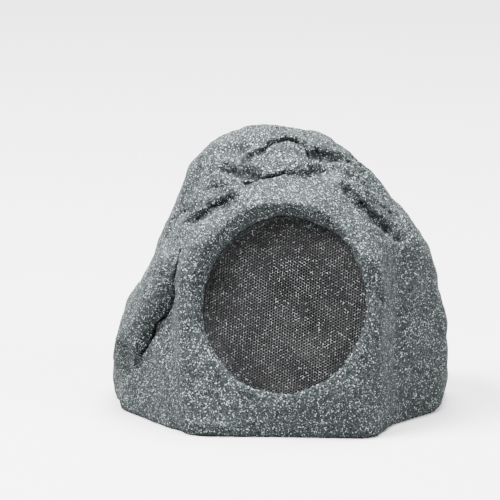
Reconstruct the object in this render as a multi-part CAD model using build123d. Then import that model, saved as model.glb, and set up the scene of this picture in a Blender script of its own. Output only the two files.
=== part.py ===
from build123d import *
import math
import os

# Rock shell, millimetres, the driver axis lies in the plane x = 0
WALL = 6.0
BLANK = 1400.0

# Grille, recess and baffle
GRILLE_HALF_W = 83.5
GRILLE_HALF_H = 90.5
GRILLE_SHEET = 1.0
GRILLE_FIT = 0.5
GRILLE_TILT = 20.0
GRILLE_Y = -102.0
GRILLE_Z = 126.0
RECESS_DEPTH = 18.0
LIP_FLARE = 20.0
LIP_REACH = 60.0
BAFFLE = 8.0

# Driver frame
CUTOUT_R = 71.0
FLANGE_R = 81.0
FLANGE = 2.5
SEAL = 1.5
DRIVER_SCREW_R = 77.6
DRIVER_SCREWS = 4
BASKET_SHEET = 1.6
BASKET_MOUTH_R = 66.0
SHELF_R = 47.0
SHELF_DEPTH = 31.0
SHELF_W = 6.0
BASKET_DEPTH = 44.0
WINDOW_W = 46.0
WINDOWS = 4

# Solder strip under the shelf of the basket
STRIP_L = 20.0
STRIP = 2.5
STRIP_INSET = 1.0
TAG_X = 5.0
TAG_W = 4.0
TAG = 0.8
TAG_BITE = 2.5
TAG_PAST = 2.5

# Moving system and suspension
CONE_R = 61.0
CONE_LIP = 6.0
CONE_SHEET = 0.8
NECK_DEPTH = 22.0
ROLL_R = 4.5
ROLL_SHEET = 0.8
ROLL_RIM = 5.0
ROLL_STEPS = 6
FORMER_R = 13.0
FORMER_SHEET = 0.4
COIL_BUILD = 0.5
COIL_LENGTH = 12.0
SPIDER_SHEET = 0.6
SPIDER_WAVE = 1.6
SPIDER_RIM = 4.0
SPIDER_FIT = 0.2
SPIDER_FOLDS = 4

# Motor
TOP_PLATE_R = 38.0
TOP_PLATE = 6.0
MAGNET_R = 45.0
MAGNET_BORE_R = 20.0
MAGNET = 16.0
BACK_PLATE_R = 42.0
BACK_PLATE = 6.0
POLE_R = 12.0
POLE_BORE_R = 3.2
GAP_R = 14.2

# Tweeter on the pole
POST_R = 5.0
TWEETER_R = 15.0
TWEETER_WALL = 1.5
TWEETER_DEPTH = 13.0
TWEETER_FACE = -1.0
TWEETER_MAGNET_R = 9.0
TWEETER_MAGNET = 5.5
DOME_R = 9.5
DOME_RISE = 4.5
DOME_SHEET = 0.6
DOME_STEPS = 4

# Base
PLATE_LIFT = 4.0
PLATE = 5.0
PLATE_GAP = 1.5
LEDGE = 5.0
LEDGE_W = 15.0
BASE_SCREWS = 6

# Crossover board on the base plate, the places on it are shares of its length and width
BOARD_Y = 52.0
BOARD_L = 96.0
BOARD_W = 62.0
BOARD = 1.6
POST_LIFT = 8.0
POST_INSET = 5.0
STANDOFF_R = 4.0
CAPACITOR_AT = (-0.29, -0.13)
CAPACITOR_R = 9.0
CAPACITOR_H = 24.0
INDUCTOR_AT = (0.23, -0.13)
BOBBIN_R = 16.0
BOBBIN_CORE_R = 7.0
BOBBIN_BORE_R = 4.0
BOBBIN_H = 16.0
BOBBIN_FLANGE = 1.5
WINDING_R = 14.0
RESISTOR_AT = (-0.27, 0.29)
RESISTOR_L = 24.0
RESISTOR_W = 9.0
TERMINAL_AT = (0.12, 0.35)
TERMINAL_L = 14.0
TERMINAL_W = 10.0
TERMINAL_H = 11.0
CLAMP_R = 1.8
CLAMP_W = 3.0
CLAMP_Z = 2.5

# Cable gland in the back facet
GLAND_X = -38.0
GLAND_Z = 42.0
GLAND_BORE_R = 3.5
GLAND_STUB_R = 8.0
GLAND_FLANGE_R = 13.0
GLAND_FLANGE = 4.0
GLAND_HEAD_R = 9.5
GLAND_HEAD = 10.0
GLAND_STUB = 13.0
GLAND_NUT_R = 12.5
GLAND_NUT = 5.0

# Fasteners and wires
SCREW_R = 2.0
SCREW_HEAD_R = 3.4
SCREW_HEAD = 2.4
SCREW_HOLE = 0.3
SCREW_BITE = 0.05
SMALL_SCREW_R = 1.4
SMALL_HEAD_R = 2.6
SMALL_HEAD = 1.8
WIRE_R = 1.2
WIRE_BEND = 9.0
WIRE_APART = 1.1
LEAD_GAP = 1.8
WOOFER_LEAD_OUT = 26.0
WOOFER_LEAD_Y = -20.0
WOOFER_LEAD_UP = 26.0
TWEETER_LEAD_OUT = 18.0
TWEETER_LEAD_Y = 8.0
TWEETER_LEAD_DROP = 24.0

# The lumps of the rock: middle, edge rounding and facets
# Each facet has the azimuth from the front, the elevation and the distance from the middle
BODY = ((0, 25, 130), 16, [
    (-84, 21, 152), (-84, 40, 164), (-79, 66, 166), (11, 87, 155), (101, 75, 142), (103, 55, 127),
    (103, 32, 103), (106, 4, 77), (-84, 4, 155), (3, 6, 61), (11, 8, 76), (-169, 5, 119),
    (-169, 24, 94), (-127, 8, 132), (149, 8, 92), (-169, 54, 125), (-124, 42, 145), (146, 42, 107)])
CORE = ((0, 25, 130), 16, [
    (-84, 25, 140), (-84, 6, 176), (106, 33, 106), (106, 12, 116), (100, -4, 133), (11, 87, 133), (103, 55, 120),
    (5, 46, 130), (-35, 32, 151), (48, 38, 121), (2, 12, 114), (-49, 12, 153), (66, 8, 106), (-169, 5, 114),
    (-169, 24, 90), (-127, 8, 138), (149, 8, 114), (-169, 54, 118), (-124, 42, 138), (146, 42, 112)])
HOOD = ((0, -85, 110), 14, [
    (2, 13, 33), (7, 1, 50), (85, 3, 95), (-53, 3, 104), (45, 8, 73), (-69, 4, 110), (3, 64, 106),
    (-31, 42, 96), (49, 42, 95), (-61, 28, 113), (77, 30, 108), (-169, 40, 120), (-169, 0, 110)])
FOOT = ((-95, -40, 40), 16, [
    (-39, 20, 66), (-53, 3, 59), (5, 8, 98), (-169, 0, 95), (-49, 50, 67), (-84, 6, 88), (96, 0, 60)])
SLAB = ((-130, 10, 90), 16, [
    (-84, 3, 64), (-84, 16, 54), (-84, 30, 51), (-55, 17, 68), (-59, 60, 85), (-127, 8, 76),
    (-169, 4, 74), (81, 0, 45), (-124, 42, 55), (61, -32, 28), (-49, -16, 80), (-2, -14, 82)])
FLANK = ((60, 20, 110), 20, [
    (106, 47, 98), (106, 33, 76), (106, 16, 71), (103, 0, 80), (95, -8, 87), (64, 3, 68), (41, 11, 68),
    (47, 30, 82), (39, 55, 123), (149, 8, 91), (-169, 6, 95), (-79, 0, 43), (146, 40, 85)])
LENS = ((-10, -25, 250), 5, [
    (5, 44, 17), (53, 42, 24), (11, -8, 26), (3, 80, 24), (-169, 0, 28), (-64, 52, 36), (91, 40, 28),
    (-74, 8, 59), (11, -90, 30)])

# Cracks between the blocks of stone, drawn on a plane that faces a viewer to the right and above
# Each has its width and its points on that plane, to the right and up
CRACK_AZIMUTH = 11.0
CRACK_ELEVATION = 12.0
CRACK_START = 40.0
CRACK_DEPTH = 4.5
CRACKS = [
    (4, [(-63, 248), (-45, 257), (-30, 267), (-17, 269), (-7, 266), (6, 255)]),
    (6, [(6, 255), (20, 251), (46, 248)]),
    (4, [(-75, 237), (-59, 232), (-43, 229), (-21, 232), (5, 234), (17, 238)]),
    (6, [(-71, 211), (-93, 199), (-113, 186)]),
    (3, [(-123, 157), (-127, 138), (-133, 125), (-130, 115), (-139, 89)]),
    (3, [(-149, 84), (-152, 72), (-164, 55)]),
    (6, [(39, 224), (49, 209), (63, 197), (85, 177)]),
]
MAIN = [BODY, CORE, HOOD, FLANK]
FOOTED = MAIN + [FOOT, SLAB]
LUMPS = FOOTED + [LENS]
BACK_FACET = BODY[2][11]

# Sizes that follow from the ones above
cup_r = SHELF_R - SHELF_W
plate_top = PLATE_LIFT + PLATE
ledge_low = plate_top + SEAL
board_low = plate_top + POST_LIFT
flange_top = SEAL + FLANGE
back_low = -BASKET_DEPTH - TOP_PLATE - MAGNET - BACK_PLATE
gap_middle = -BASKET_DEPTH - TOP_PLATE / 2
coil_low = gap_middle - COIL_LENGTH / 2
tweeter_low = TWEETER_FACE - TWEETER_DEPTH
neck_top = -NECK_DEPTH + CONE_SHEET
shelf_low = -SHELF_DEPTH - BASKET_SHEET
strip_low = shelf_low - STRIP
tag_low = strip_low - TAG
strip_y = -(cup_r + SHELF_R) / 2
lead_y = -(max(MAGNET_R, cup_r) + LEAD_GAP + WIRE_R)


def facing(azimuth, elevation):
    turn = math.radians(azimuth)
    lift = math.radians(elevation)
    return Vector(math.sin(turn) * math.cos(lift), -math.cos(turn) * math.cos(lift), math.sin(lift))


def disc(radius, low, high):
    return Pos(0, 0, low) * Cylinder(radius, high - low, align=(Align.CENTER, Align.CENTER, Align.MIN))


def ring(inner, outer, low, high):
    return disc(outer, low, high) - disc(inner, low, high)


def turned(*profile):
    face = Face(Wire.make_polygon([(r, 0, z) for r, z in profile]))
    return revolve(face, Axis.Z)


def block(length, width, low, high):
    return Pos(0, 0, low) * Box(length, width, high - low, align=(Align.CENTER, Align.CENTER, Align.MIN))


def screw(radius, head_radius, head, length):
    return disc(head_radius, 0, head) + disc(radius, -length, 0)


def group(pieces):
    return Compound(list(pieces))


# One lump of rock: a block cut by facets, rounded on the outer skin and plain where it is moved in
def lump(form, inset):
    middle, rounding, facets = form
    sunk = inset or rounding
    stone = Pos(*middle) * Box(BLANK, BLANK, BLANK)
    for azimuth, elevation, distance in facets:
        out = facing(azimuth, elevation)
        cut = Plane(origin=Vector(*middle) + out * (distance - sunk), z_dir=out)
        stone = split(stone, bisect_by=cut, keep=Keep.BOTTOM)
    if inset:
        return stone
    return offset(stone, amount=rounding, kind=Kind.ARC)


def mass(forms, inset):
    stones = [lump(form, inset) for form in forms]
    return stones[0].fuse(*stones[1:])


# Places: the recess floor carries the driver, the back facet carries the gland
grille_plane = Plane(origin=(0, GRILLE_Y, GRILLE_Z), x_dir=(1, 0, 0), z_dir=facing(0, GRILLE_TILT))
at_grille = grille_plane.location
at_driver = grille_plane.offset(-RECESS_DEPTH).location
at_board = Pos(0, BOARD_Y, board_low)
screw_ring = [loc for loc in PolarLocations(DRIVER_SCREW_R, DRIVER_SCREWS, 45)]
board_corners = [loc for loc in GridLocations(BOARD_L - 2 * POST_INSET, BOARD_W - 2 * POST_INSET, 2, 2)]


def gland_place():
    out = facing(BACK_FACET[0], BACK_FACET[1])
    middle = Vector(*BODY[0])
    level = BACK_FACET[2] + out.dot(middle) - out.X * GLAND_X - out.Z * GLAND_Z
    return Plane(origin=(GLAND_X, level / out.Y, GLAND_Z), z_dir=out).location


at_gland = gland_place()


def oval(grow, low, high):
    face = Ellipse(GRILLE_HALF_W + grow, GRILLE_HALF_H + grow)
    return Pos(0, 0, low) * extrude(face, amount=high - low)


# The recess for the grille with its flared lip
def recess(grow, floor):
    wide = grow + LIP_REACH * math.tan(math.radians(LIP_FLARE))
    narrow_end = Ellipse(GRILLE_HALF_W + grow, GRILLE_HALF_H + grow)
    wide_end = Pos(0, 0, LIP_REACH) * Ellipse(GRILLE_HALF_W + wide, GRILLE_HALF_H + wide)
    return at_grille * (oval(grow, floor, 0) + loft([narrow_end, wide_end], ruled=True))


# Screw places half way across the ledge of the shell
def base_screw_places(ledge_middle):
    outline = section(ledge_middle, section_by=Plane.XY.offset(ledge_low)).faces()[0].outer_wire()
    return [Pos(outline.position_at((k + 0.5) / BASE_SCREWS)) for k in range(BASE_SCREWS)]


# One crack, cut from the front down to the rock that is left
def crack(width, path, rock_left):
    out = facing(CRACK_AZIMUTH, CRACK_ELEVATION)
    view = Plane(origin=out * CRACK_START, x_dir=facing(CRACK_AZIMUTH + 90, 0), z_dir=out)
    return extrude(view * trace(Polyline(*path), line_width=width), amount=BLANK / 4) - rock_left


# Hollow moulded rock with recess, baffle, base ledge and holes for the fasteners
def make_rock_shell(ledge_opening, screw_places):
    rock = split(mass(LUMPS, 0), bisect_by=Plane.XY, keep=Keep.TOP)
    ledge = block(BLANK, BLANK, ledge_low, ledge_low + LEDGE) - ledge_opening
    hollow = mass(FOOTED, WALL) - ledge - recess(GRILLE_FIT + WALL, -RECESS_DEPTH - BAFFLE)
    under_cracks = mass(FOOTED, WALL + CRACK_DEPTH)
    crack_floor = mass(LUMPS, CRACK_DEPTH)
    for width, path in CRACKS:
        hollow -= crack(width + 2 * WALL, path, under_cracks)
        rock -= crack(width, path, crack_floor)
    shell = rock - hollow - recess(GRILLE_FIT, -RECESS_DEPTH)
    shell -= at_driver * disc(CUTOUT_R, -2 * BAFFLE, BAFFLE)
    for place in screw_ring:
        shell -= at_driver * place * disc(SCREW_R + SCREW_BITE, -2 * BAFFLE, BAFFLE)
    for place in screw_places:
        shell -= place * disc(SCREW_R + SCREW_BITE, -LEDGE, 2 * LEDGE)
    shell -= at_gland * disc(GLAND_STUB_R + SCREW_HOLE, -2 * WALL, WALL)
    return shell


# Perforated sheet pan pressed into the recess, its skirt stands on the recess floor
def make_grille():
    inside = oval(-GRILLE_SHEET, -RECESS_DEPTH, -GRILLE_SHEET)
    return oval(0, -RECESS_DEPTH, 0) - inside


# Moulded plate that closes the shell, with posts for the board
def make_base_plate(plate_space, screw_places):
    plate = block(BLANK, BLANK, PLATE_LIFT, plate_top) & plate_space
    for place in screw_places:
        plate -= place * disc(SCREW_R + SCREW_HOLE, -BLANK, BLANK)
    for corner in board_corners:
        post = disc(STANDOFF_R, -POST_LIFT, 0) - disc(SMALL_SCREW_R + SCREW_BITE, -POST_LIFT, 0)
        plate += at_board * corner * post
    return plate


def make_base_gasket(plate_space, ledge_opening, screw_places):
    seal = (block(BLANK, BLANK, plate_top, ledge_low) & plate_space) - ledge_opening
    for place in screw_places:
        seal -= place * disc(SCREW_R + SCREW_HOLE, -BLANK, BLANK)
    return seal


def make_base_screws(screw_places):
    drop = Pos(0, 0, PLATE_LIFT - ledge_low) * Rot(180, 0, 0)
    one = screw(SCREW_R, SCREW_HEAD_R, SCREW_HEAD, PLATE + SEAL + LEDGE)
    return group(place * drop * one for place in screw_places)


def make_driver_gasket():
    seal = ring(CUTOUT_R, FLANGE_R, 0, SEAL)
    for place in screw_ring:
        seal -= place * disc(SCREW_R + SCREW_HOLE, 0, SEAL)
    return at_driver * seal


# Pressed steel basket: flange, tapered wall with windows, spider shelf and cup
def make_driver_basket():
    flange_low = flange_top - FLANGE
    sheet = BASKET_SHEET
    basket = turned(
        (FLANGE_R, flange_top), (BASKET_MOUTH_R, flange_top), (SHELF_R - sheet, -SHELF_DEPTH),
        (cup_r - sheet, -SHELF_DEPTH), (cup_r - sheet, sheet - BASKET_DEPTH),
        (GAP_R, sheet - BASKET_DEPTH), (GAP_R, -BASKET_DEPTH), (cup_r, -BASKET_DEPTH),
        (cup_r, -SHELF_DEPTH - sheet), (SHELF_R, -SHELF_DEPTH - sheet),
        (BASKET_MOUTH_R + sheet, flange_low), (FLANGE_R, flange_low))
    window = Pos(CUTOUT_R, 0, 0) * block(CUTOUT_R, WINDOW_W, 3 * sheet - SHELF_DEPTH, flange_low - 3 * sheet)
    for place in PolarLocations(0, WINDOWS, 0):
        basket -= place * window
    for place in screw_ring:
        basket -= place * disc(SCREW_R + SCREW_HOLE, flange_low, flange_top)
    return at_driver * basket


def make_driver_screws():
    one = Pos(0, 0, flange_top) * screw(SCREW_R, SCREW_HEAD_R, SCREW_HEAD, flange_top + BAFFLE)
    return group(at_driver * place * one for place in screw_ring)


# Rubber half roll with a flat rim on the flange and one on the cone
def make_surround():
    middle = CONE_R + ROLL_R
    crown = ROLL_R + ROLL_SHEET
    low = flange_top
    high = flange_top + ROLL_SHEET
    inner_rim = CONE_R - ROLL_RIM
    outer_rim = middle + crown + ROLL_RIM - 2 * ROLL_SHEET
    turns = [math.pi * k / ROLL_STEPS for k in range(ROLL_STEPS + 1)]
    under = [(middle - ROLL_R * math.cos(t), low + ROLL_R * math.sin(t)) for t in turns]
    over = [(middle + crown * math.cos(t), low + crown * math.sin(t)) for t in turns[1:-1]]
    return at_driver * turned(
        (inner_rim, low), *under, (outer_rim, low), (outer_rim, high), (middle + crown, high), *over,
        (middle - crown, high), (inner_rim, high))


def make_cone():
    lip = CONE_R - CONE_LIP
    return at_driver * turned(
        (FORMER_R, neck_top), (lip, flange_top), (CONE_R, flange_top), (CONE_R, flange_top - CONE_SHEET),
        (lip, flange_top - CONE_SHEET), (FORMER_R + CONE_SHEET, -NECK_DEPTH), (FORMER_R, -NECK_DEPTH))


def make_voice_coil_former():
    return at_driver * ring(FORMER_R - FORMER_SHEET, FORMER_R, coil_low, neck_top)


def make_voice_coil():
    return at_driver * ring(FORMER_R, FORMER_R + COIL_BUILD, coil_low, coil_low + COIL_LENGTH)


# Corrugated cloth disc from the former to the basket shelf
def make_spider():
    low = -SHELF_DEPTH
    rim_end = SHELF_R - BASKET_SHEET - SPIDER_FIT
    rim_start = rim_end - SPIDER_RIM
    step = (rim_start - FORMER_R - SPIDER_SHEET) / SPIDER_FOLDS
    radii = [FORMER_R + SPIDER_SHEET + step * k for k in range(SPIDER_FOLDS + 1)]
    lower = [(r, low + SPIDER_WAVE * (k % 2)) for k, r in enumerate(radii)]
    upper = [(r, z + SPIDER_SHEET) for r, z in reversed(lower)]
    rim = (rim_end, low)
    rim_top = (rim_end, low + SPIDER_SHEET)
    collar = (FORMER_R, low)
    collar_top = (FORMER_R, low + SPIDER_SHEET)
    return at_driver * turned(collar, *lower, rim, rim_top, *upper, collar_top)


def make_top_plate():
    return at_driver * ring(GAP_R, TOP_PLATE_R, -BASKET_DEPTH - TOP_PLATE, -BASKET_DEPTH)


def make_magnet():
    top = -BASKET_DEPTH - TOP_PLATE
    return at_driver * ring(MAGNET_BORE_R, MAGNET_R, top - MAGNET, top)


# Back plate and pole in one piece with the bore for the tweeter wires
def make_back_plate():
    yoke = disc(BACK_PLATE_R, back_low, back_low + BACK_PLATE) + disc(POLE_R, back_low, -BASKET_DEPTH)
    return at_driver * (yoke - disc(POLE_BORE_R, back_low, -BASKET_DEPTH))


def make_tweeter_post():
    return at_driver * ring(POLE_BORE_R, POST_R, -BASKET_DEPTH, tweeter_low)


def make_tweeter_housing():
    cup = disc(TWEETER_R, tweeter_low, TWEETER_FACE)
    cup -= disc(TWEETER_R - TWEETER_WALL, tweeter_low + TWEETER_WALL, TWEETER_FACE)
    return at_driver * (cup - disc(POLE_BORE_R, tweeter_low, TWEETER_FACE))


def make_tweeter_magnet():
    low = tweeter_low + TWEETER_WALL
    return at_driver * ring(POLE_BORE_R, TWEETER_MAGNET_R, low, low + TWEETER_MAGNET)


# Domed sheet with a flat rim on the cup
def make_tweeter_dome():
    rim_top = TWEETER_FACE + 2 * DOME_SHEET
    radius = (DOME_R ** 2 + DOME_RISE ** 2) / (2 * DOME_RISE)
    centre = rim_top + DOME_RISE - radius
    turns = [math.asin(DOME_R / radius) * k / DOME_STEPS for k in range(DOME_STEPS + 1)]
    over = [(radius * math.sin(t), centre + radius * math.cos(t)) for t in turns]
    inner = radius - DOME_SHEET
    under = [(inner * math.sin(t), centre + inner * math.cos(t)) for t in reversed(turns)]
    return at_driver * turned(
        *over, (TWEETER_R, rim_top), (TWEETER_R, TWEETER_FACE), (DOME_R - DOME_SHEET, TWEETER_FACE), *under)


# Strip under the spider shelf, it carries two solder tags that reach past the magnet
def make_terminal_strip():
    width = SHELF_R - cup_r - STRIP_INSET
    return at_driver * Pos(0, strip_y, 0) * block(STRIP_L, width, strip_low, shelf_low)


def make_terminal_tags():
    inner = strip_y + TAG_BITE
    outer = lead_y - TAG_PAST
    tag = block(TAG_W, inner - outer, tag_low, strip_low)
    return group(at_driver * Pos(side * TAG_X, (inner + outer) / 2, 0) * tag for side in (-1, 1))


def make_crossover_board():
    board = block(BOARD_L, BOARD_W, 0, BOARD)
    for corner in board_corners:
        board -= corner * disc(SMALL_SCREW_R + SCREW_HOLE, 0, BOARD)
    return at_board * board


def make_board_screws():
    one = Pos(0, 0, BOARD) * screw(SMALL_SCREW_R, SMALL_HEAD_R, SMALL_HEAD, BOARD + POST_LIFT / 2)
    return group(at_board * corner * one for corner in board_corners)


def on_board(place):
    return at_board * Pos(place[0] * BOARD_L, place[1] * BOARD_W, BOARD)


def make_crossover_capacitor():
    return on_board(CAPACITOR_AT) * disc(CAPACITOR_R, 0, CAPACITOR_H)


def make_inductor_bobbin():
    spool = disc(BOBBIN_R, 0, BOBBIN_FLANGE) + disc(BOBBIN_CORE_R, 0, BOBBIN_H)
    spool += disc(BOBBIN_R, BOBBIN_H - BOBBIN_FLANGE, BOBBIN_H)
    return on_board(INDUCTOR_AT) * (spool - disc(BOBBIN_BORE_R, 0, BOBBIN_H))


def make_inductor_winding():
    turns = ring(BOBBIN_CORE_R, WINDING_R, BOBBIN_FLANGE, BOBBIN_H - BOBBIN_FLANGE)
    return on_board(INDUCTOR_AT) * turns


def make_crossover_resistor():
    return on_board(RESISTOR_AT) * block(RESISTOR_L, RESISTOR_W, 0, RESISTOR_W)


# Screw terminal where the cable from outside is clamped
def make_input_terminal():
    body = block(TERMINAL_L, TERMINAL_W, 0, TERMINAL_H)
    for side in (-1, 1):
        body -= Pos(side * TERMINAL_L / 4, 0, 0) * disc(CLAMP_R, TERMINAL_H / 2, TERMINAL_H)
        body -= Pos(side * TERMINAL_L / 4, TERMINAL_W / 2, CLAMP_Z) * Box(CLAMP_W, TERMINAL_W, CLAMP_W)
    return on_board(TERMINAL_AT) * body


# Gland where the cable enters: head and flange outside, threaded stub through the wall
def make_cable_gland():
    face = SEAL + GLAND_FLANGE
    body = disc(GLAND_STUB_R, -GLAND_STUB, SEAL) + disc(GLAND_FLANGE_R, SEAL, face)
    body += disc(GLAND_HEAD_R, face, face + GLAND_HEAD)
    return at_gland * (body - disc(GLAND_BORE_R, -GLAND_STUB, face + GLAND_HEAD))


def make_gland_washer():
    return at_gland * ring(GLAND_STUB_R, GLAND_FLANGE_R, 0, SEAL)


def make_gland_nut():
    hexagon = extrude(RegularPolygon(GLAND_NUT_R, 6), amount=-GLAND_NUT)
    return at_gland * Pos(0, 0, -WALL) * (hexagon - disc(GLAND_STUB_R, -GLAND_NUT, 0))


# A wire along a path with round bends
def wire(points):
    path = FilletPolyline(*points, radius=WIRE_BEND)
    start = Plane(origin=points[0], z_dir=Vector(*points[1]) - Vector(*points[0]))
    return sweep(start * Circle(WIRE_R), path=path)


def spot(place, x, y, z):
    return (place * Pos(x, y, z)).position


def make_woofer_leads():
    leads = []
    for side in (-1, 1):
        x = side * TAG_X
        start = spot(at_driver, x, lead_y, tag_low)
        leave = spot(at_driver, x, lead_y, tag_low - WOOFER_LEAD_OUT)
        above = spot(at_board, x, WOOFER_LEAD_Y, WOOFER_LEAD_UP)
        end = spot(at_board, x, WOOFER_LEAD_Y, BOARD)
        leads.append(wire([start, leave, above, end]))
    return group(leads)


def make_tweeter_leads():
    leads = []
    for side in (-1, 1):
        x = side * WIRE_R * WIRE_APART
        start = spot(at_driver, x, 0, tweeter_low + TWEETER_WALL)
        leave = spot(at_driver, x, 0, back_low - TWEETER_LEAD_OUT)
        end = spot(at_board, x, TWEETER_LEAD_Y, BOARD)
        above = Vector(end.X, end.Y, leave.Z - TWEETER_LEAD_DROP)
        leads.append(wire([start, leave, above, end]))
    return group(leads)


plate_space = mass(FOOTED, WALL + PLATE_GAP)
ledge_opening = mass(MAIN, WALL + LEDGE_W)
screw_places = base_screw_places(mass(FOOTED, WALL + LEDGE_W / 2))

nodes = {
    "rock_shell": make_rock_shell(ledge_opening, screw_places),
    "grille": at_grille * make_grille(),
    "base_plate": make_base_plate(plate_space, screw_places),
    "base_gasket": make_base_gasket(plate_space, ledge_opening, screw_places),
    "base_screws": make_base_screws(screw_places),
    "driver_gasket": make_driver_gasket(),
    "driver_basket": make_driver_basket(),
    "driver_screws": make_driver_screws(),
    "surround": make_surround(),
    "cone": make_cone(),
    "voice_coil_former": make_voice_coil_former(),
    "voice_coil": make_voice_coil(),
    "spider": make_spider(),
    "top_plate": make_top_plate(),
    "magnet": make_magnet(),
    "back_plate": make_back_plate(),
    "tweeter_post": make_tweeter_post(),
    "tweeter_housing": make_tweeter_housing(),
    "tweeter_magnet": make_tweeter_magnet(),
    "tweeter_dome": make_tweeter_dome(),
    "terminal_strip": make_terminal_strip(),
    "terminal_tags": make_terminal_tags(),
    "crossover_board": make_crossover_board(),
    "board_screws": make_board_screws(),
    "crossover_capacitor": make_crossover_capacitor(),
    "inductor_bobbin": make_inductor_bobbin(),
    "inductor_winding": make_inductor_winding(),
    "crossover_resistor": make_crossover_resistor(),
    "input_terminal": make_input_terminal(),
    "cable_gland": make_cable_gland(),
    "gland_washer": make_gland_washer(),
    "gland_nut": make_gland_nut(),
    "woofer_leads": make_woofer_leads(),
    "tweeter_leads": make_tweeter_leads(),
}

# The frame: ground under the middle of the whole object
centre = group(nodes.values()).bounding_box().center()
home = Pos(-centre.X, -centre.Y, 0)
os.makedirs("parts", exist_ok=True)
for name, piece in nodes.items():
    export_step(home * piece, "parts/" + name + ".step")
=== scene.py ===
import math
import bmesh
import bpy
import numpy as np
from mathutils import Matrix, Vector, noise
from mathutils.bvhtree import BVHTree


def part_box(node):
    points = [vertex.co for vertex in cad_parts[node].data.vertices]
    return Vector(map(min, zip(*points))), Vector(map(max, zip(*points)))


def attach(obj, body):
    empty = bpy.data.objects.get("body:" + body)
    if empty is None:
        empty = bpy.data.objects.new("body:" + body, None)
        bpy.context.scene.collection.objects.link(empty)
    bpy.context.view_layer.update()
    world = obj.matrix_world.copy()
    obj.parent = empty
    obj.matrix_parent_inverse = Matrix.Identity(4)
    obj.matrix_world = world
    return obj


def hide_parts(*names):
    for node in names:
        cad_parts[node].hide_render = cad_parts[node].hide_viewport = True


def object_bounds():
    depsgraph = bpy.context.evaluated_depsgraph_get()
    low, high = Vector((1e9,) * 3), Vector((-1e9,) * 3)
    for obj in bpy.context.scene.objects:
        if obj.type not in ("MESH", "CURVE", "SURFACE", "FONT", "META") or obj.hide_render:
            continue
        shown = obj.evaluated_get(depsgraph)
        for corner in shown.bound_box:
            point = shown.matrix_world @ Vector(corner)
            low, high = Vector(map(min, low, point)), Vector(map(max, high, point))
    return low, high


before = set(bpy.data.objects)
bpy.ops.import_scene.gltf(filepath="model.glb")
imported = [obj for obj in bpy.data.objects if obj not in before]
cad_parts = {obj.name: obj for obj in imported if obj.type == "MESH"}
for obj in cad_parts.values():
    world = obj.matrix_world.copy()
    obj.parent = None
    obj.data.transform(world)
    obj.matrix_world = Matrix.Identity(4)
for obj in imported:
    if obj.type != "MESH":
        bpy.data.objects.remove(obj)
cad_low, cad_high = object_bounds()

# Rock shell: one hollow boulder, rotationally moulded in polyethylene from a mould of broken stone.
# It carries every other piece, and its outside is sprayed with a thick granite fleck coat.
# The solid has the lumps, and here its skin gets the soft edges, dents and cracks of the stone.
SKIN_STEP = 0.0026
SOFT_ROUNDS = 8
FOOT_ROUNDS = 42
FOOT_HIGH = 0.025
FOOT_SOFT = (0.045, 0.015)
LEDGE_LOW = 0.0105
CUTOUT_R = 0.071
PAN_DEPTH = 0.018
GRILLE_HALF_W = 0.0835
GRILLE_HALF_H = 0.0905
GRILLE_TILT = math.radians(20)

grille_low, grille_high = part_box("grille")
front = Vector((0, -math.cos(GRILLE_TILT), math.sin(GRILLE_TILT)))
rise = Vector((0, math.sin(GRILLE_TILT), math.cos(GRILLE_TILT)))
grille_middle = (grille_low + grille_high) / 2 + front * PAN_DEPTH / 2
driver_seat = grille_middle - front * PAN_DEPTH

moulding = bmesh.new()
moulding.from_mesh(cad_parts["rock_shell"].data)
bmesh.ops.remove_doubles(moulding, verts=moulding.verts, dist=1e-6)
walls = BVHTree.FromBMesh(moulding)

# The outside is what sees the sky, and what sees it through the driver's cut-out is the cavity
SKY_LIFTS = (0.03, 0.3, 0.6, 0.9, 1.3)
SKY_TURNS = 16
JUST_OFF = 1e-4
GRAZING = 0.03
CUTOUT_EDGE = 0.004
sky = [
    Vector((math.cos(turn) * math.cos(lift), math.sin(turn) * math.cos(lift), math.sin(lift)))
    for lift in SKY_LIFTS for turn in (k * 2 * math.pi / SKY_TURNS for k in range(SKY_TURNS))]


def open_to_sky(face):
    """Whether a way to the sky leads from the face past every wall, and not through the cut-out."""
    spot = face.calc_center_median() + face.normal * JUST_OFF
    for way in sky:
        if way.dot(face.normal) < GRAZING:
            continue
        reach = (driver_seat - spot).dot(front) / (way.dot(front) or 1e-9)
        if reach > 10 * JUST_OFF and (spot + way * reach - driver_seat).length < CUTOUT_R + CUTOUT_EDGE:
            continue
        if walls.ray_cast(spot, way)[0] is None:
            return True
    return False


# The cavity is the largest patch that no sky reaches: the others are the walls of narrow cracks
moulding.faces.index_update()
shut = {
    face for face in moulding.faces
    if max(v.co.z for v in face.verts) > LEDGE_LOW + 2 * JUST_OFF and not open_to_sky(face)}
cavity = []
while shut:
    patch = [shut.pop()]
    for face in patch:
        beside = {near for edge in face.edges for near in edge.link_faces} & shut
        patch.extend(sorted(beside, key=lambda near: near.index))
        shut -= beside
    cavity = max(cavity, patch, key=len)
cavity.sort(key=lambda face: face.index)
inside = bmesh.new()
copied = {}
for face in cavity:
    for v in face.verts:
        if v not in copied:
            copied[v] = inside.verts.new(v.co)
    inside.faces.new([copied[v] for v in face.verts]).material_index = 1
bmesh.ops.delete(moulding, geom=cavity, context="FACES")
bmesh.ops.holes_fill(moulding, edges=[e for e in moulding.edges if e.is_boundary], sides=0)
bmesh.ops.triangulate(moulding, faces=moulding.faces)
skin = bpy.data.meshes.new("rock_skin")
moulding.to_mesh(skin)
rock = bpy.data.objects.new("rock", skin)
bpy.context.scene.collection.objects.link(rock)
remesh = rock.modifiers.new("even_skin", "REMESH")
remesh.mode = "VOXEL"
remesh.voxel_size = SKIN_STEP
skin = bpy.data.meshes.new_from_object(rock.evaluated_get(bpy.context.evaluated_depsgraph_get()))
rock.modifiers.clear()
rock.data = skin


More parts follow.
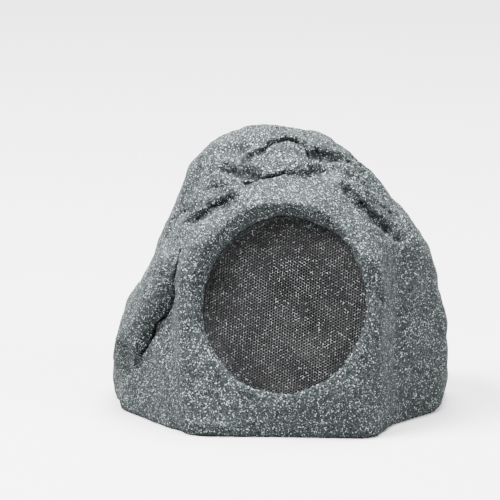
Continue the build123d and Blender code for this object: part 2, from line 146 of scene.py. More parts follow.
def ramp(value, low, high):
    """A soft step from 0 at the first bound to 1 at the second, which may be the lower one."""
    share = np.clip((value - low) / (high - low), 0, 1)
    return share * share * (3 - 2 * share)


def read(source, name, width, kind=float):
    """One value of every element of a mesh, as rows of an array."""
    flat = np.empty(len(source) * width, dtype=kind)
    source.foreach_get(name, flat)
    return flat.reshape(-1, width)


def softened(points, ends, share, rounds):
    """The points drawn toward the middle of their neighbours, each by its own share."""
    count = len(points)
    near = np.bincount(ends.ravel(), minlength=count)[:, None]
    for _ in range(rounds):
        total = np.stack([
            np.bincount(ends[:, 0], points[ends[:, 1], axis], count)
            + np.bincount(ends[:, 1], points[ends[:, 0], axis], count) for axis in range(3)], axis=1)
        points = points + (total / near - points) * (0.5 * share)[:, None]
    return points


def at_grille(points):
    """How far each point lies before the grille's face, and how far out as a share of its oval."""
    away = points - np.array(grille_middle)
    oval = np.hypot(away[:, 0] / GRILLE_HALF_W, away @ np.array(rise) / GRILLE_HALF_H)
    return away @ np.array(front), oval


# What stays as the solid has it: the recess round the grille, up to some way before it and out from it, and
# under the rock the wall round the base plate, by how far it faces inward and how low it lies
RECESS_BEFORE = (0.001, 0.009)
RECESS_OVAL = (1.14, 1.22)
PLATE_FACING = (0.2, 0.5)
PLATE_HIGH = (LEDGE_LOW + 0.004, LEDGE_LOW + 0.001)


def free_share(points, ways):
    """How far each point may leave the solid, from 0 in the recess and at the plate to 1."""
    before, oval = at_grille(points)
    off_seat = np.maximum(ramp(before, *RECESS_BEFORE), ramp(oval, *RECESS_OVAL))
    from_axis = np.linalg.norm(points[:, :2], axis=1)
    inward = -np.einsum("ij,ij->i", ways[:, :2], points[:, :2]) / from_axis
    plate_wall = ramp(inward, *PLATE_FACING) * ramp(points[:, 2], *PLATE_HIGH)
    return off_seat * (1 - plate_wall)


spots = read(skin.vertices, "co", 3)
ends = read(skin.edges, "vertices", 2, np.int64)
free = free_share(spots, read(skin.vertex_normals, "vector", 3))
spots = softened(spots, ends, free, SOFT_ROUNDS)
spots = softened(spots, ends, free * ramp(spots[:, 2], *FOOT_SOFT), FOOT_ROUNDS)
low = spots[:, 2].min()
spots[:, 2] -= low * ramp(spots[:, 2], FOOT_HIGH, low)
skin.vertices.foreach_set("co", spots.ravel())

# The cracks of the solid and the broken dents beside them, drawn on the plane of the photograph's view:
# width and depth, then points in millimetres to the right and up from the middle of the rock's foot,
# before which the middle of the grille lies by the distance named here
VIEW_TURN = math.radians(11)
VIEW_LIFT = math.radians(12)
GRILLE_FRONT = 0.102
CRACKS = [
    (6.5, 5.0, (-61, 246), (-54, 251), (-44, 257)),
    (3.2, 5.0, (-45, 257), (-30, 267), (-19, 270)),
    (6.5, 6.5, (-18, 271), (-9, 268), (-1, 263), (7, 255)),
    (3.0, 5.0, (-61, 226), (-50, 228), (-43, 229), (-34, 231), (-21, 235)),
    (2.6, 4.0, (-10, 232), (5, 233), (20, 238)),
    (2.6, 5.5, (-123, 157), (-126, 148), (-127, 138), (-131, 127), (-130, 119), (-130, 115),
     (-134, 102)),
    (2.8, 5.5, (-134, 102), (-141, 91), (-149, 83), (-152, 73), (-158, 61), (-164, 55)),
    (2.6, 3.0, (57, 225), (71, 209), (85, 195)),
]
DENTS = [
    (9.0, 5.0, (8, 254), (20, 251), (34, 249), (46, 248), (58, 238)),
    (10.0, 6.5, (-76, 237), (-64, 234), (-50, 231)),
    (7.0, 4.0, (-54, 226), (-68, 222)),
    (8.0, 4.5, (-18, 235), (-4, 235), (14, 237)),
    (9.0, 4.5, (-94, 220), (-82, 221)),
    (10.0, 6.0, (-71, 212), (-80, 206), (-92, 203)),
    (8.0, 4.0, (-97, 196), (-106, 191), (-115, 185)),
    (5.0, 4.0, (38, 225), (42, 217), (46, 207)),
    (9.0, 5.5, (50, 210), (63, 197), (74, 186), (84, 177)),
    (7.0, 4.0, (84, 177), (92, 168)),
    (10.0, 3.0, (-181, 60), (-178, 48), (-179, 36)),
]
back = Vector((
    math.sin(VIEW_TURN) * math.cos(VIEW_LIFT),
    -math.cos(VIEW_TURN) * math.cos(VIEW_LIFT),
    math.sin(VIEW_LIFT)))
right = Vector((math.cos(VIEW_TURN), math.sin(VIEW_TURN), 0))
up = back.cross(right)
foot_middle = Vector((grille_middle.x, grille_middle.y + GRILLE_FRONT, 0))
# Where each kind begins and is deepest, as shares of its width off its line, and how much painted shade it
# gets at most.
# The lines wander by waves of a size in metres and a height as a share of the width
CRACK_SHAPE = (0.65, 0.15, 1.0)
DENT_SHAPE = (0.95, 0.0, 0.75)
WANDER = ((0.012, 0.35), (0.005, 0.22))
# The depth in millimetres at which the painted shade of a crack or dent is full
DARKEST = 6.0
TOWARD_VIEW = (-0.2, 0.0)
CLOSE_BY = 0.002
PER_METRE = 1000


def rough(points, waves):
    """The sum of the waves' heights at each point."""
    return np.array([sum(noise.noise(Vector(p) / size) * high for size, high in waves) for p in points])


def stone_marks(points, ways, spread):
    """The painted shade and the depth of the cracks and dents at each point, drawn wider by a spread."""
    flat = (points - np.array(foot_middle)) @ np.stack([right, up], axis=1)
    wander = np.stack([rough(points, WANDER), rough(points + 1, WANDER)], axis=1)
    toward = ramp(ways @ np.array(back), *TOWARD_VIEW)
    share = np.zeros(len(points))
    cut = np.zeros(len(points))
    for lines, (outer, inner, dark) in ((CRACKS, CRACK_SHAPE), (DENTS, DENT_SHAPE)):
        for width, deep, *path in lines:
            path = np.array(path) / PER_METRE
            moved = flat + wander * width / PER_METRE
            for a, b in zip(path[:-1], path[1:]):
                along = np.clip(((moved - a) @ (b - a)) / ((b - a) @ (b - a)), 0, 1)
                gap = np.linalg.norm(moved - a - along[:, None] * (b - a), axis=1) - spread
                near = ramp(gap, outer * width / PER_METRE, inner * width / PER_METRE) * toward
                share = np.maximum(share, near * dark * min(1.0, deep / DARKEST))
                cut = np.maximum(cut, near * deep / PER_METRE)
    return share, cut


finer = bmesh.new()
skin.update()
finer.from_mesh(skin)
finer.verts.ensure_lookup_table()
close = stone_marks(spots, read(skin.vertex_normals, "vector", 3), CLOSE_BY)[0] > 0
bmesh.ops.subdivide_edges(
    finer, edges=[e for e in finer.edges if close[e.verts[0].index] and close[e.verts[1].index]],
    cuts=2, use_grid_fill=True)
finer.to_mesh(skin)
skin.update()

# The stone's own waves and those of its broken places, as size and height in metres, and the height of the
# foot in which they grow from nothing. Some wall always stays over the cavity, if that lies within reach
WAVES = ((0.070, 0.0032), (0.030, 0.0018), (0.013, 0.0011), (0.006, 0.0006))
BROKEN = ((0.010, 0.0036), (0.0045, 0.0024))
FOOT_FLAT = 0.006
LEAST_WALL = 0.0015
WALL_REACH = 0.012
# Where the stone lies lower than the grille's face it swells up to a height over it. The pairs say where
# that ends and where it is full: as a share of the oval, in how far the skin faces forward, and in depth
BRIM_HIGH = 0.0016
BRIM_OVAL = (1.18, 1.03)
BRIM_FACING = (0.2, 0.6)
BRIM_BEFORE = (-0.009, -0.006)
# The ragged lip of the recess laps over the edge of the grille: its reach, how much more that is at the
# right and below than at the left and above, its waves, and such pairs for its foot, top and outer side
LIP = 0.0030
LIP_LEAN = 0.0012
LIP_WAVES = ((0.050, 0.0030), (0.012, 0.0026))
LIP_FOOT = (0.0002, 0.0014)
LIP_TOP = (0.018, 0.008)
LIP_OVAL = (1.25, 1.15)
spots = read(skin.vertices, "co", 3)
ways = read(skin.vertex_normals, "vector", 3)
# crack is the share of painted shade in the cracks and dents, and also sets how broken the stone is there
crack, cut = stone_marks(spots, ways, 0.0)
foot = ramp(spots[:, 2], 0.0, FOOT_FLAT)
relief = rough(spots, WAVES) + rough(spots, BROKEN) * crack - cut
spots = spots + ways * (relief * free_share(spots, ways) * foot)[:, None]
before, oval = at_grille(spots)
facing = ways @ np.array(front)
brim = ramp(oval, *BRIM_OVAL) * ramp(facing, *BRIM_FACING) * ramp(before, *BRIM_BEFORE)
spots = spots + np.array(front) * (brim * np.maximum(BRIM_HIGH - before, 0))[:, None]
before, oval = at_grille(spots)
lip = ramp(before, *LIP_FOOT) * ramp(before, *LIP_TOP) * ramp(oval, *LIP_OVAL)
inward = np.array(grille_middle) - spots + before[:, None] * np.array(front)
inward /= np.linalg.norm(inward, axis=1)[:, None]
lean = inward @ (np.array(rise) - np.array((1, 0, 0)))
lap = np.maximum(LIP + LIP_LEAN * lean + rough(spots, LIP_WAVES), 0)
spots = spots + inward * (lip * lap)[:, None]
inside.normal_update()
hollow_wall = BVHTree.FromBMesh(inside)
for k, p in enumerate(spots):
    spot = Vector(p)
    out = Vector(ways[k])
    hit, way, _, _ = hollow_wall.ray_cast(spot, out, WALL_REACH)
    if hit and way.dot(out) < 0:
        spot = hit + out * LEAST_WALL
    hit, way, _, gap = hollow_wall.find_nearest(spot)
    past = (spot - hit).dot(way) + LEAST_WALL
    if past > 0 and gap < WALL_REACH:
        spot -= way * past
    spots[k] = spot
spots = np.clip(spots, np.array(cad_low), np.array(cad_high))
skin.vertices.foreach_set("co", spots.ravel())
skin.update()
# Painted shade on steep faces is gone where the skin leans upward by this much
UNSHADED_LEAN = 0.7
upward = ramp(read(skin.vertex_normals, "vector", 3)[:, 2], 0.0, UNSHADED_LEAN)
# Masks of painted shade for the coat: in the cracks and dents, and on faces that lean little upward
for name, values in (("crack_shade", crack), ("upward", upward)):
    skin.attributes.new(name, "FLOAT", "POINT").data.foreach_set("value", values)

# The covers that closed the skin for its remesh come off again, found by how near they lie
COVER_OFF = 0.002
CUTOUT_SLACK = 5e-4
LEDGE_OFF = 0.0012
WALL_OFF = 0.0015


def is_cover(face):
    """Whether the face closes the driver's cut-out, or the opening inside the ledge."""
    away = face.center - driver_seat
    if abs(away.dot(front)) < COVER_OFF and away.length < CUTOUT_R - CUTOUT_SLACK:
        return True
    at_ledge = abs(face.center.z - LEDGE_LOW) < LEDGE_OFF and face.normal.z < -0.5
    return at_ledge and walls.find_nearest(face.center)[3] > WALL_OFF


covers = [face.index for face in skin.polygons if is_cover(face)]


def linear(code):
    """An sRGB hex value as a linear colour."""
    parts = [int(code[k:k + 2], 16) / 255 for k in (1, 3, 5)]
    return tuple(p / 12.92 if p <= 0.04045 else ((p + 0.055) / 1.055) ** 2.4 for p in parts) + (1.0,)


def add(material, kind, links=None, **settings):
    """A new node with its settings, and with a link or a value at each named input."""
    made = material.node_tree.nodes.new("ShaderNode" + kind)
    for name, value in settings.items():
        setattr(made, name, value)
    for place, value in (links or {}).items():
        if isinstance(value, bpy.types.NodeSocket):
            material.node_tree.links.new(value, made.inputs[place])
        else:
            made.inputs[place].default_value = value
    return made


def new_surface(name, **sockets):
    """A new material and its shader, with even values set on the shader's sockets."""
    material = bpy.data.materials.new(name)
    material.use_nodes = True
    shader = material.node_tree.nodes["Principled BSDF"]
    for place, value in sockets.items():
        shader.inputs[place.replace("_", " ")].default_value = value
    return material, shader


# Sprayed granite fleck coat: a dull blue grey ground full of pale and dark flecks of 1 to 2 mm, with a
# gritty skin. Each fleck has its size in metres, the share of its places that it takes, and its colour
FLECKS = (
    (0.0022, 0.46, "#0e1111"),
    (0.0015, 0.42, "#2e3334"),
    (0.0012, 0.42, "#101313"),
    (0.0010, 0.24, "#43494a"),
    (0.0010, 0.12, "#6a7071"),
    (0.0011, 0.08, "#a3aaaa"),
)
FLECK_RAGGED = 0.0011
FLECK_SHIFT = 0.0008
GROUND_CLOUD = 0.040
COAT_GRIT = 0.0020
coat, shader = new_surface("granite_fleck_coat", Roughness=0.9, IOR=1.45, Specular_IOR_Level=0.1)
place = add(coat, "TexCoord").outputs["Object"]
ragged = add(coat, "TexNoise", {"Vector": place, "Scale": 1 / FLECK_RAGGED, "Detail": 1.0})
shift = add(coat, "VectorMath", {0: ragged.outputs["Color"], 1: (FLECK_SHIFT,) * 3}, operation="MULTIPLY")
uneven = add(coat, "VectorMath", {0: place, 1: shift.outputs["Vector"]}, operation="ADD").outputs["Vector"]
tone = add(coat, "TexNoise", {"Vector": place, "Scale": 1 / GROUND_CLOUD, "Detail": 3.0})
ground = add(coat, "ValToRGB", {"Fac": tone.outputs["Fac"]})
ground.color_ramp.elements[0].position = 0.3
ground.color_ramp.elements[0].color = linear("#1d2122")
ground.color_ramp.elements[1].position = 0.7
ground.color_ramp.elements[1].color = linear("#272b2c")
mixed = ground.outputs["Color"]
for size, share, colour in FLECKS:
    fleck = add(coat, "TexVoronoi", {"Vector": uneven, "Scale": 1 / size})
    pick = add(coat, "SeparateColor", {"Color": fleck.outputs["Color"]})
    chosen = add(coat, "Math", {0: pick.outputs["Red"], 1: share}, operation="LESS_THAN")
    spread = add(coat, "MapRange", {"Value": fleck.outputs["Distance"], "From Min": 0.55, "From Max": 0.40})
    grain = {0: chosen.outputs["Value"], 1: spread.outputs["Result"]}
    mask = add(coat, "Math", grain, operation="MULTIPLY").outputs["Value"]
    laid = add(coat, "Mix", {"Factor": mask, 6: mixed, 7: linear(colour)}, data_type="RGBA")
    mixed = laid.outputs[2]
# The coat gets painted shade: darker on steep faces, where the light from above falls less, and darker in
# the cracks and dents, where shade falls
steep = add(coat, "Attribute", attribute_name="upward")
steep_shade_share = add(coat, "MapRange", {"Value": steep.outputs["Fac"], "To Min": 0.34, "To Max": 0.0})
lean_side = {"Factor": steep_shade_share.outputs["Result"], 6: mixed, 7: linear("#0b0d0d")}
steep_shaded = add(coat, "Mix", lean_side, data_type="RGBA")
deep = add(coat, "Attribute", attribute_name="crack_shade")
crack_shade_share = add(coat, "MapRange", {"Value": deep.outputs["Fac"], "From Min": 0.2, "To Max": 0.8})
gloom = {"Factor": crack_shade_share.outputs["Result"], 6: steep_shaded.outputs[2], 7: linear("#060707")}
cracked = add(coat, "Mix", gloom, data_type="RGBA")
coat.node_tree.links.new(cracked.outputs[2], shader.inputs["Base Color"])
grit = add(coat, "TexNoise", {"Vector": place, "Scale": 1 / COAT_GRIT, "Detail": 2.0})
bump = add(coat, "Bump", {"Height": grit.outputs["Fac"], "Strength": 0.9, "Distance": 0.0012})
coat.node_tree.links.new(bump.outputs["Normal"], shader.inputs["Normal"])

# Bare moulded polyethylene inside the shell: even dark grey with a faint orange peel
CAVITY_PEEL = 0.004
bare, shader = new_surface("moulded_polyethylene", Roughness=0.6, IOR=1.5)
peel = add(bare, "TexNoise", {"Vector": add(bare, "TexCoord").outputs["Object"], "Scale": 1 / CAVITY_PEEL})
tint = add(bare, "ValToRGB", {"Fac": peel.outputs["Fac"]})
tint.color_ramp.elements[0].color = linear("#2a2c2d")
tint.color_ramp.elements[1].color = linear("#34373a")
bare.node_tree.links.new(tint.outputs["Color"], shader.inputs["Base Color"])
skin.materials.clear()
skin.materials.append(coat)
skin.materials.append(bare)
whole = bmesh.new()
whole.from_mesh(skin)
whole.faces.ensure_lookup_table()
bmesh.ops.delete(whole, geom=[whole.faces[k] for k in covers], context="FACES")
for face in whole.faces:
    face.smooth = True
back_wall = bpy.data.meshes.new("rock_cavity")
inside.to_mesh(back_wall)
whole.from_mesh(back_wall)
whole.to_mesh(skin)
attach(rock, "housing")
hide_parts("rock_shell")

# Grille: perforated steel sheet drawn into a shallow oval pan, pressed into the recess of the rock.
# It is coated matt black, and the spray of the rock has left grey clouds of flecks on it.
# The solid is a closed pan, and here its face gets the six sided holes in offset rows.

# The real rows are 2 mm apart, and are drawn 2.9 mm apart, because finer ones blur into an even grey
HOLE_PITCH = 0.0029
HOLE_R = 0.00132
SHEET = 0.0008
RIM = 0.0017
RIM_LIFT = 0.00015
HOLE_LIMIT = 0.0005
ROWS = 60

count = np.arange(-ROWS, ROWS + 1)
across, along = np.meshgrid(count, count)
middles = np.stack([
    across.ravel() * HOLE_PITCH * math.sqrt(3) / 2,
    (along.ravel() + 0.5 * (across.ravel() % 2)) * HOLE_PITCH], axis=1)
middles = middles[np.hypot(
    middles[:, 0] / (GRILLE_HALF_W - RIM), middles[:, 1] / (GRILLE_HALF_H - RIM)) < 1]
turns = np.arange(6) * math.pi / 3
spokes = np.stack([np.cos(turns), np.sin(turns)], axis=1)
cell = np.concatenate([
    np.c_[spokes * HOLE_PITCH / math.sqrt(3), np.full(6, -RIM_LIFT)],
    np.c_[spokes * HOLE_R, np.full(6, -RIM_LIFT)],
    np.c_[spokes * HOLE_R, np.full(6, -RIM_LIFT - SHEET)]])
holes = (np.c_[middles, np.zeros(len(middles))][:, None, :] + cell[None]).reshape(-1, 3)
past = np.hypot(holes[:, 0] / (GRILLE_HALF_W - HOLE_LIMIT), holes[:, 1] / (GRILLE_HALF_H - HOLE_LIMIT))
holes[:, :2] /= np.maximum(past, 1)[:, None]
corner = np.arange(6)
following = (corner + 1) % 6
quads = np.concatenate([
    np.stack([corner, following, following + 6, corner + 6], axis=1) + first for first in (0, 6)])
faces = (np.arange(len(middles))[:, None, None] * len(cell) + quads[None]).reshape(-1, 4)

# The rolled edge: shrink of the oval and height at each step, from inside the face over the bend and down
# to the foot of the skirt. The spray reaches it only in part
EDGE = ((0.0020, -0.0002), (0.0013, -0.0001), (0.0005, -0.0004), (0.0, -0.0012), (0.0, -PAN_DEPTH))
EDGE_DUSTED = 0.5
STEPS = 144
step = np.arange(STEPS)
after = (step + 1) % STEPS
sweep = step * 2 * math.pi / STEPS
edge = np.concatenate([
    np.stack([(GRILLE_HALF_W - shrink) * np.cos(sweep), (GRILLE_HALF_H - shrink) * np.sin(sweep),
              np.full(STEPS, high)], axis=1) for shrink, high in EDGE])
bands = np.concatenate([
    np.stack([step, step + STEPS, after + STEPS, after], axis=1) + ring * STEPS
    for ring in range(len(EDGE) - 1)]) + len(holes)
flat = np.concatenate([holes, edge])
side = np.array((1.0, 0, 0))
placed = (np.array(grille_middle) + flat[:, :1] * side + flat[:, 1:2] * np.array(rise)
          + flat[:, 2:] * np.array(front))
sheet_mesh = bpy.data.meshes.new("grille_sheet")
sheet_mesh.from_pydata(placed.tolist(), [], np.concatenate([faces, bands]).tolist())
sheet_mesh.update()
reached = sheet_mesh.attributes.new("dusted", "FLOAT", "POINT")
reached.data.foreach_set("value", np.r_[np.ones(len(holes)), np.full(len(edge), EDGE_DUSTED)])
grille = bpy.data.objects.new("grille_sheet", sheet_mesh)
bpy.context.scene.collection.objects.link(grille)

# Black powder coat on steel, dusted by the fleck spray: charcoal with cloudy grey patches and light specks,
# and nearer to bare black on the rolled edge that the lip of the rock covers
DUST_CLOUD = 0.026
DUST_SPECK = 0.0010
powder, shader = new_surface("powder_coated_steel", Roughness=0.7, IOR=1.5, Specular_IOR_Level=0.2)
place = add(powder, "TexCoord").outputs["Object"]
puffs = {"Vector": place, "Scale": 1 / DUST_CLOUD, "Detail": 5.0, "Roughness": 0.65}
cloud = add(powder, "TexNoise", puffs)
dust = add(powder, "ValToRGB", {"Fac": cloud.outputs["Fac"]})
dust.color_ramp.elements[0].position = 0.42
dust.color_ramp.elements[0].color = linear("#0e0e0f")
dust.color_ramp.elements[1].position = 0.72
dust.color_ramp.elements[1].color = linear("#2a2b2b")
speck = add(powder, "TexVoronoi", {"Vector": place, "Scale": 1 / DUST_SPECK})
pick = add(powder, "SeparateColor", {"Color": speck.outputs["Color"]})
lit = add(powder, "MapRange", {"Value": pick.outputs["Red"], "From Min": 0.88, "From Max": 0.99})
specked = {"Factor": lit.outputs["Result"], 6: dust.outputs["Color"], 7: linear("#6d7070")}
tinted = add(powder, "Mix", specked, data_type="RGBA")
spray = add(powder, "Attribute", attribute_name="dusted")
reached_share = {"Factor": spray.outputs["Fac"], 6: linear("#0b0b0c"), 7: tinted.outputs[2]}
covered = add(powder, "Mix", reached_share, data_type="RGBA")
powder.node_tree.links.new(covered.outputs[2], shader.inputs["Base Color"])
sheet_mesh.materials.append(powder)
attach(grille, "housing")
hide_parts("grille")

# Base plate, tweeter cup, coil bobbin, gland and its nut: polypropylene from spark eroded moulds.
# The plate is screwed under the rock, the cup stands on its post, and the bobbin sits on the board.
# The gland takes the cable through the back wall and is held there by its nut.

# The real grain of 0.1 mm is drawn as 0.7 mm, because a finer one wouldn't show
PLASTIC_GRAIN = 0.0007


def mottled(name, dark, light, size, bump_height=0.0, **sockets):
    """A surface between two tones in soft patches of one size, in metres, with bumps of the same size."""
    material, shader = new_surface(name, **sockets)
    place = add(material, "TexCoord").outputs["Object"]
    patch = add(material, "TexNoise", {"Vector": place, "Scale": 1 / size, "Detail": 3.0})
    tones = add(material, "ValToRGB", {"Fac": patch.outputs["Fac"]})
    tones.color_ramp.elements[0].position = 0.35
    tones.color_ramp.elements[0].color = linear(dark)
    tones.color_ramp.elements[1].position = 0.65
    tones.color_ramp.elements[1].color = linear(light)
    material.node_tree.links.new(tones.outputs["Color"], shader.inputs["Base Color"])
    if bump_height:
        bump = add(material, "Bump", {"Height": patch.outputs["Fac"], "Distance": bump_height})
        material.node_tree.links.new(bump.outputs["Normal"], shader.inputs["Normal"])
    return material


def dress(material, *names):
    """Lays the material on pieces that keep the mesh of their solid."""
    for name in names:
        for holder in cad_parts[name].material_slots:
            holder.material = material


# Spark eroded moulding: black with a fine matt grain that catches the light evenly
black_moulding = mottled("moulded_polypropylene", "#0b0b0c", "#101112", PLASTIC_GRAIN, 0.0001,
                         Roughness=0.55, IOR=1.49, Specular_IOR_Level=0.2)
dress(black_moulding, "base_plate", "tweeter_housing", "inductor_bobbin", "cable_gland", "gland_nut")

# Seals at the base plate, the driver's flange and the gland: rings punched from closed cell foam rubber.
# They are squeezed between their two pieces and stay dark at every edge.
FOAM_CELL = 0.0011

# Closed cell foam rubber: matt charcoal, pitted by cells of about 1 mm
foam = mottled("closed_cell_foam_rubber", "#0f0f10", "#232425", FOAM_CELL, 0.0003, Roughness=0.95, IOR=1.5)
dress(foam, "base_gasket", "driver_gasket", "gland_washer")

# Screws of the base plate, the driver and the board: pressed steel with round heads.
# Their zinc is turned black in a bath, so that nothing shines behind the grille.
ZINC_CLOUD = 0.0009

# Black passivated zinc on steel: dark satin metal with faint cloudy patches
blackened = mottled("black_zinc_plated_steel", "#232427", "#2f3033", ZINC_CLOUD,
                    Metallic=1.0, Roughness=0.42)
dress(blackened, "base_screws", "driver_screws", "board_screws")

# Driver basket: one pressing from sheet steel with a flange, four windows and the shelf for the spider.
# It hangs by its flange in the baffle of the rock.
ENAMEL_PEEL = 0.0025

# Baked black enamel: even black with a slight orange peel in its soft gloss
enamel = mottled("baked_enamel_on_steel", "#070708", "#0b0c0c", ENAMEL_PEEL, 0.00015,
                 Roughness=0.4, IOR=1.5, Specular_IOR_Level=0.15)
dress(enamel, "driver_basket")

# Surround: a half roll moulded in rubber, which lets the cone move and keeps the air in.
# It is glued to the flange of the basket and to the edge of the cone.
RUBBER_BLOOM = 0.006

# Moulded rubber: dull black with a grey bloom in patches
rubber = mottled("moulded_rubber", "#060607", "#0c0c0d", RUBBER_BLOOM, 0.00005,
                 Roughness=0.7, IOR=1.52, Specular_IOR_Level=0.1)
dress(rubber, "surround")

# Cone: drawn hot from black polypropylene sheet and glued to the surround and the former.
# It moves along the driver's axis, together with the former and the coil.
CONE_FLOW = 0.012

# Drawn polypropylene: black with a waxy, slightly streaky gloss
cone_sheet = mottled("drawn_polypropylene_sheet", "#070708", "#0c0c0d", CONE_FLOW,
                     Roughness=0.5, IOR=1.49, Specular_IOR_Level=0.1)
dress(cone_sheet, "cone")

# Former and tweeter post: a thin tube rolled from foil and a turned post, both in bare aluminium.
# The former is glued into the neck of the cone, and the post stands on the pole and carries the tweeter.
DRAWN_LINE = 0.0012

# Rolled aluminium: bright satin grey with fine cloudy lines
aluminium = mottled("rolled_aluminium", "#c3c5c7", "#d6d8da", DRAWN_LINE, Metallic=1.0, Roughness=0.35)
dress(aluminium, "voice_coil_former", "tweeter_post")

# Windings: enamelled copper wire in close turns, on the driver's former and on the bobbin of the board.
# The real wire of 0.3 mm is drawn as turns of 0.6 mm, because finer lines would shimmer.
TURN_PITCH = 0.0006


def wound(name, direction, dark, light, **sockets):
    """Close turns of wire: bands across the direction of the winding's axis, with painted shade in the
    grooves.
    """
    material, shader = new_surface(name, **sockets)
    place = add(material, "TexCoord").outputs["Object"]
    height = add(material, "VectorMath", {0: place, 1: direction}, operation="DOT_PRODUCT")
    phase = {0: height.outputs["Value"], 1: 2 * math.pi / TURN_PITCH}
    turn = add(material, "Math", phase, operation="MULTIPLY")
    groove_shade = add(material, "Math", {0: turn.outputs["Value"]}, operation="SINE")
    tones = add(material, "ValToRGB", {"Fac": groove_shade.outputs["Value"]})
    tones.color_ramp.elements[0].color = linear(dark)
    tones.color_ramp.elements[1].color = linear(light)
    material.node_tree.links.new(tones.outputs["Color"], shader.inputs["Base Color"])
    return material


# Enamelled copper wire: orange brown metal under clear lacquer, banded turn by turn with painted shade in
# the grooves
coil_wire = wound("enamelled_copper_wire", front, "#6b3318", "#c8703c",
                  Metallic=1.0, Roughness=0.3, Coat_Weight=0.6)
dress(coil_wire, "voice_coil")
choke_wire = wound("enamelled_copper_wire_upright", (0, 0, 1), "#6b3318", "#c8703c",
                   Metallic=1.0, Roughness=0.3, Coat_Weight=0.6)
dress(choke_wire, "inductor_winding")

# Spider: a disc of cotton cloth, soaked in resin and pressed into round folds while hot.
# It is glued to the shelf of the basket and to the former, and keeps the coil in the gap.
WEAVE = 0.0008


def woven(name, across, dark, light, pitch, **sockets):
    """Plain weave: threads across two directions at one pitch, dark between them."""
    material, shader = new_surface(name, **sockets)
    place = add(material, "TexCoord").outputs["Object"]
    threads = []
    for direction in across:
        way = add(material, "VectorMath", {0: place, 1: direction}, operation="DOT_PRODUCT")
        phase = {0: way.outputs["Value"], 1: 2 * math.pi / pitch}
        turn = add(material, "Math", phase, operation="MULTIPLY")
        threads.append(add(material, "Math", {0: turn.outputs["Value"]}, operation="SINE").outputs["Value"])
    crossed = add(material, "Math", {0: threads[0], 1: threads[1]}, operation="MULTIPLY")
    level = add(material, "MapRange", {"Value": crossed.outputs["Value"], "From Min": -1.0})
    tones = add(material, "ValToRGB", {"Fac": level.outputs["Result"]})
    tones.color_ramp.elements[0].color = linear(dark)
    tones.color_ramp.elements[1].color = linear(light)
    material.node_tree.links.new(tones.outputs["Color"], shader.inputs["Base Color"])
    return material


# Resin soaked cotton: amber threads with darker gaps
cotton = woven("resin_soaked_cotton", ((1, 0, 0), rise), "#6e5327", "#a8843f", WEAVE,
               Roughness=0.75, IOR=1.5)
dress(cotton, "spider")

# Motor plates: a pressed ring, and a plate that is one piece with the pole, both in soft steel.
# They are zinc plated and glued to the two sides of the magnet, the ring under the basket.
SPANGLE = 0.004

# Zinc plated steel: pale satin metal with soft spangles
zinc = mottled("zinc_plated_steel", "#a9acae", "#c4c6c8", SPANGLE, Metallic=1.0, Roughness=0.33)
dress(zinc, "top_plate", "back_plate")

# Magnets of woofer and tweeter: pressed from ferrite powder, fired, ground flat and left bare.
# The large one is glued between the motor plates, and the small one sits in the tweeter's cup.
FERRITE_CLOUD = 0.0014

# Fired ferrite: charcoal grey, dull and a little chalky
ferrite = mottled("fired_ferrite", "#2a2b2c", "#3b3c3e", FERRITE_CLOUD, 0.0001, Roughness=0.75, IOR=2.2)
dress(ferrite, "magnet", "tweeter_magnet")

# Tweeter dome: silk cloth, formed in a hot tool and coated so that it stays airtight.
# Its rim is glued to the cup in the middle of the cone.

# The real threads are about 0.2 mm apart, and are drawn 0.5 mm apart, because finer ones wouldn't show
SILK_THREAD = 0.0005

# Coated silk: black threads with a dull sheen between them
silk = woven("coated_silk", ((1, 0, 0), rise), "#060607", "#0d0d0e", SILK_THREAD,
             Roughness=0.6, IOR=1.5, Specular_IOR_Level=0.1)
dress(silk, "tweeter_dome")

# Terminal strip and tags: a strip sawn from resin bonded paper, fixed under the shelf of the basket.
# It carries two punched tags of tinned brass, to which the woofer's leads are soldered.
PAPER_FIBRE = 0.0015

# Resin bonded paper: warm brown with a fibrous grain
paper_board = mottled("resin_bonded_paper", "#5a3a20", "#7a5230", PAPER_FIBRE, Roughness=0.5, IOR=1.55)
dress(paper_board, "terminal_strip")

# Tinned brass: pale yellow metal with dull patches of solder
brass = mottled("tinned_brass", "#b8a46a", "#cfc5a4", PAPER_FIBRE, Metallic=1.0, Roughness=0.35)
dress(brass, "terminal_tags")

# Crossover: a laminate board, screwed to the posts of the base plate, that splits the sound in two.
# On it are soldered a sleeved capacitor, the coil, a ceramic resistor and the screw terminal.
GLASS_WEAVE = 0.0012
FIRED_GRAIN = 0.0008
SLEEVE_FLOW = 0.005

# Glass and resin laminate with green lacquer: the weave shows through as a faint grid
laminate = woven("green_glass_laminate", ((1, 0, 0), (0, 1, 0)), "#12381f", "#1c4a2b", GLASS_WEAVE,
                 Roughness=0.35, IOR=1.52)
dress(laminate, "crossover_board")

# Shrunk sleeve of the capacitor: dark blue with a soft gloss
sleeve = mottled("shrunk_vinyl_sleeve", "#10172e", "#182244", SLEEVE_FLOW, Roughness=0.3, IOR=1.53)
dress(sleeve, "crossover_capacitor")

# Cement filled ceramic of the resistor: chalk white with grey grains
cement = mottled("cement_filled_ceramic", "#c3c0b8", "#dedbd3", FIRED_GRAIN, 0.0001, Roughness=0.9, IOR=1.6)
dress(cement, "crossover_resistor")

# Moulded nylon of the screw terminal: mid green, slightly cloudy
nylon = mottled("moulded_nylon", "#1d5b3a", "#236a45", SLEEVE_FLOW, Roughness=0.45, IOR=1.53)
dress(nylon, "input_terminal")

# Leads: stranded wire in extruded vinyl, laid in pairs inside the rock.
# One pair is soldered from the board to the tags of the woofer, the other to the tweeter.
VINYL_FLOW = 0.008

# Extruded vinyl: dark red with a soft gloss
vinyl = mottled("extruded_vinyl", "#3d0f10", "#4d1516", VINYL_FLOW, Roughness=0.4, IOR=1.53)
dress(vinyl, "woofer_leads", "tweeter_leads")

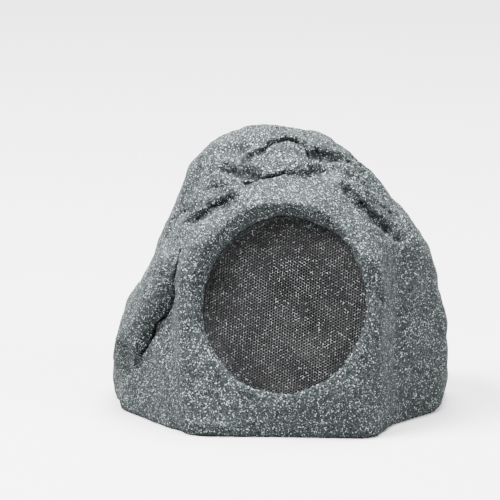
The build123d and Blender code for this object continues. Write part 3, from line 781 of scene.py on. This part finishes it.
# Stage: a wide pale paper floor under three soft lamps, and the camera at the photograph's view.
# It is no part of the object, and a lamp has its place in metres, its width and its power in watts.
FLOOR_HALF = 40
LAMPS = (
    ("key", (-1.7, -1.0, 3.0), 1.6, 1020),
    ("fill", (2.6, -1.6, 1.7), 1.6, 280),
    ("top", (0.2, 0.6, 3.4), 2.0, 760),
)
LAMP_AIM = Vector((0, 0, 0.13))
SKY_LIGHT = 0.38
VIEW_AWAY = 10.0
VIEW_WIDTH = 0.5
VIEW_AIM = Vector((-0.02966, 0.01771, 0.15357))

# Pale paper: even and matt, so that only soft shadows show on it
paper, shader = new_surface("pale_paper", Roughness=0.9)
shader.inputs["Base Color"].default_value = linear("#bcbcbc")
floor_mesh = bpy.data.meshes.new("floor")
corners = [(x * FLOOR_HALF, y * FLOOR_HALF, 0) for x, y in ((-1, -1), (1, -1), (1, 1), (-1, 1))]
floor_mesh.from_pydata(corners, [], [(0, 1, 2, 3)])
floor_mesh.materials.append(paper)
floor = bpy.data.objects.new("floor", floor_mesh)
bpy.context.scene.collection.objects.link(floor)

world = bpy.data.worlds.new("studio")
world.use_nodes = True
world.node_tree.nodes["Background"].inputs["Color"].default_value = (1, 1, 1, 1)
world.node_tree.nodes["Background"].inputs["Strength"].default_value = SKY_LIGHT
bpy.context.scene.world = world
for name, spot, size, power in LAMPS:
    lamp = bpy.data.lights.new(name, "AREA")
    lamp.size = size
    lamp.energy = power
    holder = bpy.data.objects.new(name, lamp)
    holder.location = spot
    holder.rotation_euler = (LAMP_AIM - Vector(spot)).to_track_quat("-Z", "Y").to_euler()
    bpy.context.scene.collection.objects.link(holder)

eye = bpy.data.cameras.new("camera")
eye.lens = eye.sensor_width * VIEW_AWAY / VIEW_WIDTH
eye.clip_end = 10 * VIEW_AWAY
camera = bpy.data.objects.new("camera", eye)
camera.location = VIEW_AIM + back * VIEW_AWAY
camera.rotation_euler = (-back).to_track_quat("-Z", "Y").to_euler()
bpy.context.scene.collection.objects.link(camera)
bpy.context.scene.camera = camera
